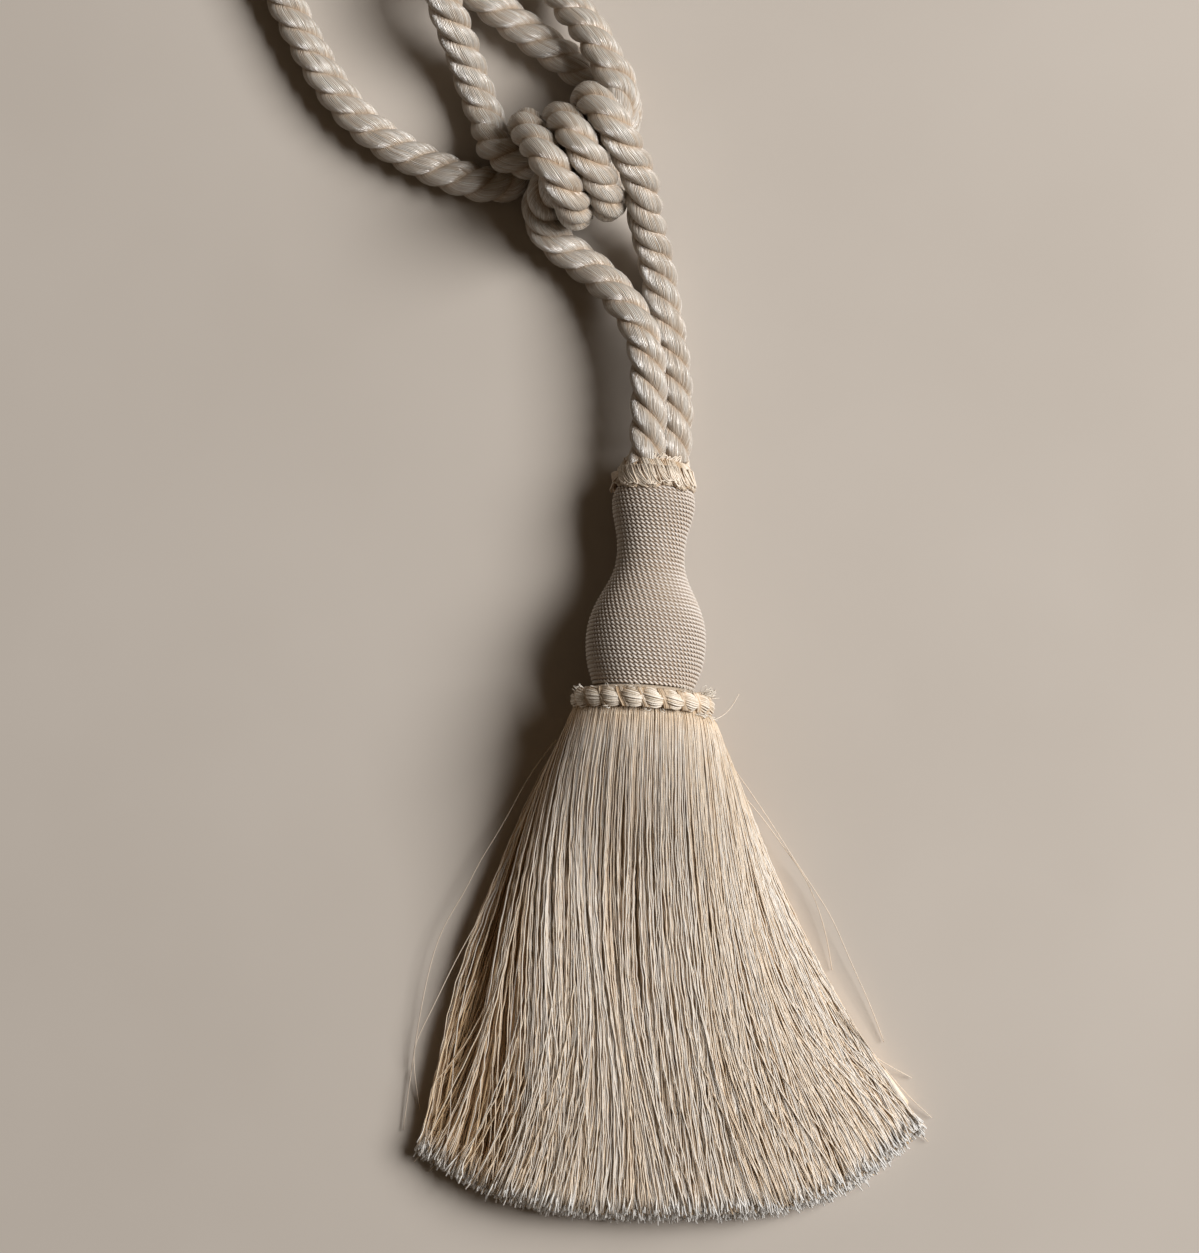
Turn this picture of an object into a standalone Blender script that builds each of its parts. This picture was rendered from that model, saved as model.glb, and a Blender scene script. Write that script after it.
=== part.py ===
"""Rope tieback with a drapery tassel, lying on a table with its rope tied in a slip knot.

+X is across the tassel, +Y runs from the cut ends of the skirt towards the rope, +Z is up.
The origin is on the table, under the middle of the tassel's own box. Sizes are in
millimetres until the meshes are written, which are in metres.
"""
import math
import random
from collections import namedtuple

import bmesh
import bpy
import numpy as np
from mathutils import Matrix, Vector

MM = 0.001
FIT_GAP = 0.3

# Middle of the tassel's own box, which is set on the origin
MIDDLE_X = -0.16
MIDDLE_Y = 0.63

# The tassel's axis runs from the ruff at the rope end down to the skirt, and rises a little,
# because both the narrow top rim and the wide belly of the head rest on the table.
AXIS_START = Vector((-5.6, 109.4, 12.95))
AXIS = Vector((-3.7, -63.8, 7.4)).normalized()
ACROSS = Vector((-AXIS.y, AXIS.x, 0)).normalized()
UPWARD = AXIS.cross(ACROSS)

# Stations of the turned pieces, as distances along the axis
RUFF_TOP = -10.3
HEAD_TOP = -2.5
HEAD_END = 63.4
COLLAR_WIDTH = 6.6
COLLAR_TOP = HEAD_END + FIT_GAP
BACKING_TOP = COLLAR_TOP + COLLAR_WIDTH + FIT_GAP
BACKING_THICKNESS = 2.0

Profile = namedtuple("Profile", "along radius")
HEAD_PROFILE = [
    Profile(HEAD_TOP, 0.0),
    Profile(HEAD_TOP, 9.0),
    Profile(-0.6, 11.6),
    Profile(3.4, 13.0),
    Profile(8.5, 12.6),
    Profile(14.5, 11.2),
    Profile(20.5, 10.7),
    Profile(26.5, 11.6),
    Profile(33.5, 14.9),
    Profile(40.5, 17.8),
    Profile(47.5, 18.8),
    Profile(54.5, 18.2),
    Profile(60.0, 16.6),
    Profile(HEAD_END, 15.2),
    Profile(HEAD_END, 0.0),
]
RUFF_PROFILE = [
    Profile(RUFF_TOP, 0.0),
    Profile(RUFF_TOP, 11.6),
    Profile(-8.6, 12.9),
    Profile(-5.2, 13.0),
    Profile(HEAD_TOP - FIT_GAP, 11.8),
    Profile(HEAD_TOP - FIT_GAP, 0.0),
]
COLLAR_PROFILE = [
    Profile(COLLAR_TOP, 0.0),
    Profile(COLLAR_TOP, 16.0),
    Profile(COLLAR_TOP + 0.6, 20.6),
    Profile(COLLAR_TOP + 2.2, 22.6),
    Profile(COLLAR_TOP + 4.6, 22.6),
    Profile(COLLAR_TOP + 6.1, 20.8),
    Profile(COLLAR_TOP + COLLAR_WIDTH, 17.0),
    Profile(COLLAR_TOP + COLLAR_WIDTH, 0.0),
]
HEAD_STEPS = 40
RUFF_LOOPS = 12
RUFF_LOOP_DEPTH = 0.5
COLLAR_BEADS = 18
COLLAR_BEAD_DEPTH = 0.8

# Skirt: locks of thread in rows and layers, fanned out and lying down towards their cut ends
LOCKS_ACROSS = 36
LOCK_LAYERS = 4
LOCK_PARTING = 0.11
LOCK_STATIONS = [0.08, 0.20, 0.36, 0.66, 1.0]
LOCK_TIP_WIDTH = 0.86
LOCK_LENGTH_SPREAD = 0.045
ROOT_HALF_WIDTH = 20.5
ROOT_HALF_HEIGHT = 16.5
SKIRT_HALF_WIDTH = 81.6
SKIRT_TIP_Y = -120.0
CORNER_LIFT_LEFT = 23.0
CORNER_LIFT_RIGHT = 31.0
CORNER_POWER = 3.2
SKIRT_BOW = 5.75
SKIRT_BOW_SLANT = 1.6
SKIRT_CROWN_ROOT = 27.0
SKIRT_CROWN_TIP = 14.0
SKIRT_EDGE = 5.0
LYING_FROM = 0.36
ON_TABLE = 0.3

# Rope: three strands laid to the left
ROPE_DIAMETER = 12.0
ROPE_LAY = 23.7
STEPS_PER_LAY = 7
STRAND_CREST = 5.9
STRAND_GROOVE = 3.9
CREST_HALF_ANGLE = math.radians(22)
CLOSE_STEP = 1.6
SETTLING_ROUNDS = 120
SAME_STRETCH = 24.0

# The knot: three turns of rope around the two ropes that pass through it
KNOT_X = -27.4
KNOT_Y = 211.9
KNOT_HEIGHT = 17.6
KNOT_RISE = 13.0
KNOT_HALF_WIDTH = 15.0
KNOT_GIRTH = 0.86
KNOT_AXIS = (0.893, 0.45)
TURN_AXIS = (0.45, -0.893)

Stop = namedtuple("Stop", "x y height girth")
TurnStop = namedtuple("TurnStop", "angle along across")
WholeTurn = namedtuple("WholeTurn", "start end across half_width")

RIGHT_TAIL = [
    Stop(0.3, 120.6, 7.6, 0.90),
    Stop(0.8, 130.1, 6.4, 1.00),
    Stop(0.0, 150.6, 6.2, 1.00),
    Stop(-2.8, 167.5, 6.2, 1.00),
    Stop(-5.4, 183.3, 9.0, 1.00),
    Stop(-8.6, 194.9, 17.0, 0.95),
]
FIRST_TURN = [
    TurnStop(45, 12.6, 2.0),
    TurnStop(80, 11.4, 0.0),
    TurnStop(112, 10.4, 0.0),
    TurnStop(145, 9.2, 0.0),
    TurnStop(180, 8.0, 0.0),
]
WHOLE_TURNS = [
    WholeTurn(8.0, 0.2, 0.3, 15.6),
    WholeTurn(0.2, -10.0, -1.6, 15.2),
]
TURN_STEP = 36
LEFT_ARM = [
    Stop(-45.5, 216.3, 8.0, 0.86),
    Stop(-48.1, 210.3, 6.0, 0.92),
    Stop(-54.0, 205.9, 6.0, 0.97),
    Stop(-64.7, 207.1, 6.2, 1.0),
    Stop(-81.0, 214.0, 6.2, 1.0),
    Stop(-95.5, 223.5, 6.2, 1.0),
    Stop(-107.1, 236.7, 6.2, 1.0),
    Stop(-116.9, 254.0, 6.2, 1.0),
    Stop(-124.7, 270.0, 6.2, 1.0),
    Stop(-136, 298, 6.2, 1.0),
    Stop(-139, 323, 6.2, 1.0),
    Stop(-136, 349, 6.2, 1.0),
    Stop(-123, 367, 6.2, 1.0),
    Stop(-105, 373, 8.0, 1.0),
    Stop(-88, 364, 17.0, 1.0),
    Stop(-79, 350, 19.0, 1.0),
    Stop(-76, 334, 15.0, 1.0),
    Stop(-75, 318, 11.0, 1.0),
    Stop(-75.7, 299.9, 13.0, 1.0),
    Stop(-75.1, 280.1, 18.5, 1.0),
    Stop(-72.3, 265.0, 19.5, 1.0),
    Stop(-67.8, 252.8, 14.5, 1.0),
    Stop(-64.0, 242.6, 8.5, 1.0),
    Stop(-60.9, 232.9, 6.2, 1.0),
    Stop(-56.5, 223.4, 6.8, 1.0),
    Stop(-50.2, 216.0, 10.0, 1.0),
]
LOWER_PASS = [
    Stop(-42.3, 211.1, 14.0, 0.86),
    Stop(-34.1, 210.5, 16.5, 0.86),
    Stop(-25.7, 214.7, 15.2, 0.86),
]
RIGHT_ARM = [
    Stop(-20.1, 222.3, 10.0, 0.90),
    Stop(-20.4, 231.6, 6.8, 0.97),
    Stop(-25.1, 238.6, 6.2, 1.0),
    Stop(-36.4, 247.0, 6.2, 1.0),
    Stop(-49.0, 256.2, 6.2, 1.0),
    Stop(-60.9, 265.6, 6.2, 1.0),
    Stop(-73, 276, 6.2, 1.0),
    Stop(-85, 290, 6.2, 1.0),
    Stop(-92, 311, 6.2, 1.0),
    Stop(-91, 334, 6.2, 1.0),
    Stop(-83, 353, 6.2, 1.0),
    Stop(-67, 365, 6.2, 1.0),
    Stop(-48, 364, 6.2, 1.0),
    Stop(-33, 352, 6.2, 1.0),
    Stop(-28, 331, 6.2, 1.0),
    Stop(-30, 309, 6.2, 1.0),
    Stop(-36, 290, 6.2, 1.0),
    Stop(-38, 274, 7.5, 1.0),
    Stop(-34.2, 263.5, 11.0, 1.0),
    Stop(-27.6, 254.9, 15.5, 1.0),
    Stop(-22.0, 245.2, 19.5, 1.0),
    Stop(-19.5, 235.7, 20.5, 1.0),
    Stop(-19.2, 227.6, 21.0, 0.90),
]
UPPER_PASS = [
    Stop(-22.6, 218.1, 22.0, 0.86),
    Stop(-30.6, 212.5, 22.0, 0.86),
]
LEFT_TAIL = [
    Stop(-37.8, 205.4, 20.0, 0.86),
    Stop(-41.3, 199.0, 14.0, 0.95),
    Stop(-39.2, 191.1, 9.0, 1.0),
    Stop(-32.6, 184.4, 7.0, 1.0),
    Stop(-25.1, 178.7, 8.0, 1.0),
    Stop(-17.0, 170.4, 12.0, 1.0),
    Stop(-10.8, 160.8, 15.0, 1.0),
    Stop(-7.6, 148.3, 15.8, 1.0),
    Stop(-7.4, 131.1, 15.4, 1.0),
    Stop(-8.0, 120.6, 16.6, 0.90),
]

SILK = (0.80, 0.70, 0.56, 1.0)
SILK_SHADE = (0.74, 0.63, 0.49, 1.0)
COLLECTION = "tassel_tieback"


def smooth_step(share):
    share = min(max(share, 0.0), 1.0)
    return share * share * (3 - 2 * share)


def knot_turn(angle, along, across, half_width=KNOT_HALF_WIDTH):
    """A point of a turn: at angle 0 it is at the knot's lower right, at 90 on top of it."""
    turn = math.radians(angle)
    reach = across + half_width * math.cos(turn)
    x = KNOT_X + KNOT_AXIS[0] * along + TURN_AXIS[0] * reach
    y = KNOT_Y + KNOT_AXIS[1] * along + TURN_AXIS[1] * reach
    return Stop(x, y, KNOT_HEIGHT + KNOT_RISE * math.sin(turn), KNOT_GIRTH)


def knot_turns():
    """The turns of the knot: each slides along it underneath and goes straight over the top."""
    stops = [knot_turn(*stop) for stop in FIRST_TURN]
    for turn in WHOLE_TURNS:
        for angle in range(180 + TURN_STEP, 541, TURN_STEP):
            slid = smooth_step((angle - 200) / 160)
            along = turn.start + (turn.end - turn.start) * slid
            stops.append(knot_turn(angle, along, turn.across, turn.half_width))
    return stops


def smooth_line(stops, step):
    """Points a step apart on a natural cubic spline through the stops."""
    knots = np.array(stops)
    spans = np.sqrt(np.linalg.norm(np.diff(knots[:, :3], axis=0), axis=1))
    times = np.concatenate([[0], np.cumsum(spans)])
    count = len(times)
    system = np.eye(count)
    bends = np.zeros_like(knots)
    slopes = np.diff(knots, axis=0) / spans[:, None]
    for i in range(1, count - 1):
        system[i, i - 1:i + 2] = spans[i - 1], 2 * (spans[i - 1] + spans[i]), spans[i]
        bends[i] = 6 * (slopes[i] - slopes[i - 1])
    bends = np.linalg.solve(system, bends)
    fine = np.linspace(0, times[-1], count * 60)
    i = np.clip(np.searchsorted(times, fine) - 1, 0, count - 2)
    span = spans[i][:, None]
    before = (fine - times[i])[:, None]
    after = span - before
    line = (bends[i] * after**3 + bends[i + 1] * before**3) / (6 * span)
    line += (knots[i] / span - bends[i] * span / 6) * after
    line += (knots[i + 1] / span - bends[i + 1] * span / 6) * before
    return even_line(line, step)


def even_line(line, step):
    """The same line with its points the same distance apart, close to the step."""
    lengths = np.linalg.norm(np.diff(line[:, :3], axis=0), axis=1)
    run = np.concatenate([[0], np.cumsum(lengths)])
    places = np.linspace(0, run[-1], int(round(run[-1] / step)) + 1)
    return np.column_stack([np.interp(places, run, line[:, k]) for k in range(4)])


def eased(values):
    """Each value drawn towards its two neighbours; the end values stay."""
    result = values.copy()
    result[1:-1] = (values[:-2] + 2 * values[1:-1] + values[2:]) / 4
    return result


def settled_line(line):
    """The line after its stretches have pushed each other apart until they only touch."""
    points = line[:, :3].copy()
    girths = line[:, 3]
    order = np.arange(len(points))
    apart = np.abs(order[:, None] - order[None]) * CLOSE_STEP
    needed = (girths[:, None] + girths[None]) / 2 * ROPE_DIAMETER + FIT_GAP
    needed[apart < SAME_STRETCH] = 0
    ends = points[[0, -1]]
    for turn in range(SETTLING_ROUNDS):
        offsets = points[:, None] - points[None]
        distances = np.linalg.norm(offsets, axis=2) + 1e-6
        lacks = (needed - distances).clip(0)
        worst = lacks.argmax(axis=1)
        share = lacks[order, worst] / distances[order, worst] / 2
        moves = offsets[order, worst] * share[:, None]
        moves[:, :2] *= 0.6
        for _ in range(6):
            moves = eased(moves)
        points += 0.9 * moves
        points[:, 2] = np.maximum(points[:, 2], girths * ROPE_DIAMETER / 2 + ON_TABLE)
        if turn % 3 == 0:
            bends = eased(points) - points
            points += bends - (eased(points + bends) - points - bends)
        points[[0, -1]] = ends
    for _ in range(6):
        points = eased(points)
    return np.column_stack([points, girths])


def rope_line():
    """Centre line of the whole rope, from the head, through the knot and both arms, to the head."""
    stops = RIGHT_TAIL + knot_turns() + LEFT_ARM + LOWER_PASS + RIGHT_ARM + UPPER_PASS + LEFT_TAIL
    close = settled_line(smooth_line(stops, CLOSE_STEP))
    return even_line(close, ROPE_LAY / STEPS_PER_LAY)


def material(name, colour, roughness):
    made = bpy.data.materials.new(name)
    made.use_nodes = True
    shader = made.node_tree.nodes["Principled BSDF"]
    shader.inputs["Base Color"].default_value = colour
    shader.inputs["Roughness"].default_value = roughness
    return made


def place(name, data, collection, surface):
    piece = bpy.data.objects.new(name, data)
    collection.objects.link(piece)
    data.materials.append(surface)
    return piece


def strand_section(collection):
    """Cross-section of the rope: the round backs of three strands with a groove between them."""
    corners = []
    for strand in range(3):
        middle = -strand * math.tau / 3
        corners.append((STRAND_CREST, middle + CREST_HALF_ANGLE))
        corners.append((STRAND_CREST, middle - CREST_HALF_ANGLE))
        corners.append((STRAND_GROOVE, middle - math.pi / 3))
    curve = bpy.data.curves.new("rope_section", "CURVE")
    outline = curve.splines.new("POLY")
    outline.points.add(len(corners) - 1)
    outline.use_cyclic_u = True
    for point, (radius, angle) in zip(outline.points, corners):
        x = radius * math.cos(angle) * MM
        y = radius * math.sin(angle) * MM
        point.co = (x, y, 0, 1)
    guide = bpy.data.objects.new("rope_section", curve)
    collection.objects.link(guide)
    guide.hide_render = True
    guide.display_type = "WIRE"
    return guide


def make_rope(collection, guides, surface):
    line = rope_line()
    curve = bpy.data.curves.new("rope", "CURVE")
    curve.dimensions = "3D"
    curve.bevel_mode = "OBJECT"
    curve.bevel_object = strand_section(guides)
    curve.use_fill_caps = True
    path = curve.splines.new("POLY")
    path.points.add(len(line) - 1)
    turn_per_point = math.tau / STEPS_PER_LAY
    for index, (point, (x, y, z, girth)) in enumerate(zip(path.points, line)):
        point.co = ((x - MIDDLE_X) * MM, (y - MIDDLE_Y) * MM, z * MM, 1)
        point.radius = girth
        point.tilt = -turn_per_point * index
    rope = place("rope", curve, collection, surface)
    split = rope.modifiers.new("follow_the_strands", "TRIANGULATE")
    split.quad_method = "SHORTEST_DIAGONAL"


def turned_shape(profile, steps):
    """A turned solid about +Z, from its top at the first row of the profile downwards."""
    mesh = bpy.data.meshes.new("profile")
    points = [(row.radius, 0, -row.along) for row in profile]
    mesh.from_pydata(points, [(i, i + 1) for i in range(len(points) - 1)], [])
    turned = bpy.data.objects.new("profile", mesh)
    bpy.context.scene.collection.objects.link(turned)
    screw = turned.modifiers.new("turn", "SCREW")
    screw.steps = steps
    screw.render_steps = steps
    screw.use_merge_vertices = True
    screw.merge_threshold = 0.0001
    graph = bpy.context.evaluated_depsgraph_get()
    shape = bmesh.new()
    shape.from_object(turned, graph)
    bpy.data.objects.remove(turned)
    bpy.data.meshes.remove(mesh)
    bmesh.ops.remove_doubles(shape, verts=shape.verts, dist=0.001)
    return shape


def along_axis():
    """Matrix that puts a turned shape on the tassel's axis, its top towards the rope."""
    turn = Matrix((UPWARD, ACROSS, -AXIS)).transposed().to_4x4()
    return Matrix.Translation(AXIS_START) @ turn


def above_table(z):
    """Height of a soft rim that the table presses flat: never below the table."""
    return 0.5 * (z + math.sqrt(z * z + 1.0))


def finish_mesh(name, shape, collection, surface):
    shape.normal_update()
    bmesh.ops.recalc_face_normals(shape, faces=shape.faces)
    bmesh.ops.translate(shape, vec=(-MIDDLE_X, -MIDDLE_Y, 0), verts=shape.verts)
    bmesh.ops.scale(shape, vec=(MM, MM, MM), verts=shape.verts)
    mesh = bpy.data.meshes.new(name)
    shape.to_mesh(mesh)
    shape.free()
    return place(name, mesh, collection, surface)


def make_head(collection, surface):
    """The mould: a slim neck, a full belly, and a small flat where the belly rests."""
    shape = turned_shape(HEAD_PROFILE, HEAD_STEPS)
    shape.transform(along_axis())
    parts = list(shape.verts) + list(shape.edges) + list(shape.faces)
    cut = bmesh.ops.bisect_plane(shape, geom=parts, plane_co=(0, 0, 0), plane_no=(0, 0, 1), clear_inner=True)
    rim = [part for part in cut["geom_cut"] if isinstance(part, bmesh.types.BMEdge)]
    bmesh.ops.contextual_create(shape, geom=rim)
    finish_mesh("head", shape, collection, surface)


def make_ring(name, profile, lumps, depth, steps_per_lump, collection, surface):
    """A ruff: a turned disc whose rim swells into loops or beads, pressed flat by the table."""
    shape = turned_shape(profile, lumps * steps_per_lump)
    widest = max(row.radius for row in profile)
    for vert in shape.verts:
        radius = math.hypot(vert.co.x, vert.co.y)
        if radius > 0.8 * widest:
            swell = depth * math.cos(lumps * math.atan2(vert.co.y, vert.co.x))
            vert.co.x *= 1 + swell / radius
            vert.co.y *= 1 + swell / radius
    shape.transform(along_axis())
    for vert in shape.verts:
        vert.co.z = above_table(vert.co.z)
    finish_mesh(name, shape, collection, surface)


def root_point(across, layer, depth):
    """A point of the skirt's backing, an oval plate square to the axis."""
    side = ROOT_HALF_WIDTH * across * math.sqrt(1 - layer * layer / 2)
    height = ROOT_HALF_HEIGHT * layer * math.sqrt(1 - across * across / 2)
    middle = AXIS_START + AXIS * (BACKING_TOP + depth)
    return middle + ACROSS * side + UPWARD * height


def skirt_point(across, layer, down):
    """A point of the skirt: across and layer run from -1 to 1, down from 0 at the root to 1."""
    root = root_point(across, layer, BACKING_THICKNESS)
    lift = CORNER_LIFT_LEFT if across < 0 else CORNER_LIFT_RIGHT
    tip_x = SKIRT_HALF_WIDTH * across
    tip_y = SKIRT_TIP_Y + lift * abs(across) ** CORNER_POWER
    bow = (SKIRT_BOW + SKIRT_BOW_SLANT * across) * math.sin(math.pi * min(down, 1))
    x = root.x + (tip_x - root.x) * down - bow
    y = root.y + (tip_y - root.y) * down
    crown = SKIRT_CROWN_ROOT + (SKIRT_CROWN_TIP - SKIRT_CROWN_ROOT) * down
    thickness = SKIRT_EDGE + (crown - SKIRT_EDGE) * (1 - abs(across) ** 2.2)
    lying = ON_TABLE + thickness * (layer + 1) / 2
    settled = smooth_step(down / LYING_FROM)
    return Vector((x, y, root.z + (lying - root.z) * settled))


def make_skirt(collection, surface):
    """The skirt: an oval backing with separate four-sided locks that grow out of its face."""
    shape = bmesh.new()
    bmesh.ops.create_grid(shape, x_segments=LOCKS_ACROSS, y_segments=LOCK_LAYERS, size=0.5)
    bmesh.ops.scale(shape, vec=(LOCKS_ACROSS, LOCK_LAYERS, 1), verts=shape.verts)
    roots = list(shape.faces)
    backing = bmesh.ops.extrude_face_region(shape, geom=roots, use_keep_orig=True)["geom"]
    back_faces = [part for part in backing if isinstance(part, bmesh.types.BMFace)]
    for vert in {vert for face in back_faces for vert in face.verts}:
        vert.co.z = -1
    bmesh.ops.dissolve_faces(shape, faces=back_faces)
    bmesh.ops.inset_individual(shape, faces=roots, thickness=LOCK_PARTING)
    lengths = random.Random(11)
    shortened = [1 - LOCK_LENGTH_SPREAD * lengths.random() for _ in roots]
    locks = roots
    for station in LOCK_STATIONS:
        locks = bmesh.ops.extrude_discrete_faces(shape, faces=locks)["faces"]
        for face, length in zip(locks, shortened):
            for vert in face.verts:
                vert.co.z = station * length
    for face in locks:
        middle = face.calc_center_median()
        for vert in face.verts:
            vert.co.x = middle.x + (vert.co.x - middle.x) * LOCK_TIP_WIDTH
            vert.co.y = middle.y + (vert.co.y - middle.y) * LOCK_TIP_WIDTH
    for vert in shape.verts:
        across = vert.co.x / (LOCKS_ACROSS / 2)
        layer = vert.co.y / (LOCK_LAYERS / 2)
        down = vert.co.z
        vert.co = root_point(across, layer, 0) if down < 0 else skirt_point(across, layer, down)
    finish_mesh("skirt", shape, collection, surface)


def new_collection(name):
    made = bpy.data.collections.new(name)
    bpy.context.scene.collection.children.link(made)
    return made


def main():
    for old in list(bpy.data.objects):
        bpy.data.objects.remove(old)
    pieces = new_collection(COLLECTION)
    guides = new_collection("guides")
    yarn = material("silk_yarn", SILK, 0.5)
    thread = material("silk_thread", SILK_SHADE, 0.45)
    make_rope(pieces, guides, yarn)
    make_head(pieces, yarn)
    make_ring("top_ruff", RUFF_PROFILE, RUFF_LOOPS, RUFF_LOOP_DEPTH, 3, pieces, yarn)
    make_ring("collar", COLLAR_PROFILE, COLLAR_BEADS, COLLAR_BEAD_DEPTH, 4, pieces, yarn)
    make_skirt(pieces, thread)


main()
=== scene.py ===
"""Looks of the drapery tassel: laid rope, wound head, looped ruffs and a skirt of silky threads.

Lengths in the tables and functions are millimetres in the same frame as the CAD part, before
its shift onto the origin; a mesh is shifted and scaled to metres when it is written.
"""
import math
from collections import namedtuple

import bpy
import numpy as np
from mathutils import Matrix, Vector


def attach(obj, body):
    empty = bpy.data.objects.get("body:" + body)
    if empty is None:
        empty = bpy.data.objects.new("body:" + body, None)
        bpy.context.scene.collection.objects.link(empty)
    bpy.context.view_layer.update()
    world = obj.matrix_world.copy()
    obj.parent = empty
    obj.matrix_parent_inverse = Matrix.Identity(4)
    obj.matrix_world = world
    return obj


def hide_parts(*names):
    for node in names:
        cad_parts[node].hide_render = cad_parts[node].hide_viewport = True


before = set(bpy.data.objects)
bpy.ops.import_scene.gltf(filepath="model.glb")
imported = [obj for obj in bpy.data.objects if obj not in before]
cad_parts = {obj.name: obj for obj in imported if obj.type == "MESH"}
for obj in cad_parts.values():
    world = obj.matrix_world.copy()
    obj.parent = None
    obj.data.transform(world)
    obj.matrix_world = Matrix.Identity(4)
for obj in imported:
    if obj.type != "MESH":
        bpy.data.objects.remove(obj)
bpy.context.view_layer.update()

MM = 0.001
SHIFT = np.array((0.16, -0.63, 0.0))
ON_TABLE = 0.3

# Axis of the tassel, from the ruff at the rope end down to the skirt
AXIS_START = np.array((-5.6, 109.4, 12.95))
AXIS = np.array((-3.7, -63.8, 7.4)) / np.linalg.norm((-3.7, -63.8, 7.4))
ACROSS = np.array((-AXIS[1], AXIS[0], 0)) / math.hypot(AXIS[0], AXIS[1])
UPWARD = np.cross(AXIS, ACROSS)

# Stations along the axis
COLLAR_TOP = 63.7
COLLAR_WIDTH = 6.6
SKIRT_TOP = 70.6

UP = np.array((0.0, 0.0, 1.0))

# Camera, floor and light; the window's place and size and the floor's reach are in metres
PHOTO_WIDTH = 1199
PHOTO_HEIGHT = 1253
FLOOR_PER_PIXEL = 0.316
CAMERA_HEIGHT = 1100.0
CAMERA_X = -22.75
CAMERA_Y = 66.8
SENSOR = 36.0
WINDOW_PLACE = (2.12, 0.72, 1.99)
WINDOW_TARGET = (0.0, 0.05, 0.0)
WINDOW_SIZE = (1.7, 1.7)
WINDOW_WATTS = 133.0
WINDOW_COLOUR = (1.0, 0.98, 0.96)
ROOM_COLOUR = (1.08, 0.78, 0.50)
ROOM_STRENGTH = 0.053
FLOOR_REACH = 4.0


def from_photo(px, py, z=0.0):
    """The point at height z that the photograph shows at this pixel."""
    scale = FLOOR_PER_PIXEL * (1 - z / CAMERA_HEIGHT)
    x = CAMERA_X + (px - PHOTO_WIDTH / 2) * scale
    y = CAMERA_Y - (py - PHOTO_HEIGHT / 2) * scale
    return np.array((x, y, z))


def placed(name, data):
    """A new object of the scene, made from its data."""
    made = bpy.data.objects.new(name, data)
    bpy.context.scene.collection.objects.link(made)
    return made


def make_camera():
    data = bpy.data.cameras.new("camera")
    data.sensor_width = SENSOR
    data.sensor_fit = "AUTO"
    data.lens = SENSOR * CAMERA_HEIGHT / (PHOTO_HEIGHT * FLOOR_PER_PIXEL)
    data.clip_start = 0.01
    camera = placed("camera", data)
    x, y, _ = np.array((CAMERA_X, CAMERA_Y, 0)) + SHIFT
    camera.location = (x * MM, y * MM, CAMERA_HEIGHT * MM)
    bpy.context.scene.camera = camera


def add_light(name, place, target, size, watts, colour):
    data = bpy.data.lights.new(name, "AREA")
    data.shape = "RECTANGLE"
    data.size = size[0]
    data.size_y = size[1]
    data.energy = watts
    data.color = colour
    light = placed(name, data)
    light.location = place
    light.rotation_euler = (Vector(target) - Vector(place)).to_track_quat("-Z", "Y").to_euler()


def make_light():
    add_light("window", WINDOW_PLACE, WINDOW_TARGET, WINDOW_SIZE, WINDOW_WATTS, WINDOW_COLOUR)
    world = bpy.data.worlds.new("studio")
    world.use_nodes = True
    back = world.node_tree.nodes["Background"]
    back.inputs["Color"].default_value = (*ROOM_COLOUR, 1)
    back.inputs["Strength"].default_value = ROOM_STRENGTH
    scene = bpy.context.scene
    scene.world = world
    scene.view_settings.view_transform = "Standard"


# Materials: ramps are stops of (place, colour), reliefs are metres
ROPE_TONES = [(0.28, (0.50, 0.40, 0.30)), (0.60, (0.67, 0.59, 0.50)), (0.92, (0.79, 0.75, 0.69))]
# Painted shade: the gap stops darken the valleys between yarns, and the warm brown tints the strands' sides
# in the rope's grooves
ROPE_PAINTED_GAP_SHADE = [(0.0, (0.52, 0.37, 0.23)), (0.5, (0.92, 0.89, 0.85)), (1.0, (1.0, 1.0, 1.0))]
ROPE_PAINTED_SHADE_AMBER = (0.95, 0.74, 0.52)
ROPE_IOR = 1.75
ROPE_RELIEF = 0.00042
THREAD_ROUGHNESS = 0.34
THREAD_TINT = (1.0, 0.86, 0.72, 1.0)
THREAD_SPECKS = 1700.0
# Painted shade: the darkest brown, for threads and heart painted in the deepest shade
THREAD_PAINTED_DEEPEST_SHADE = (0.38, 0.29, 0.21)
FLOOR_TONES = [(0.3, (0.508, 0.461, 0.411)), (0.7, (0.538, 0.491, 0.441))]


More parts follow.
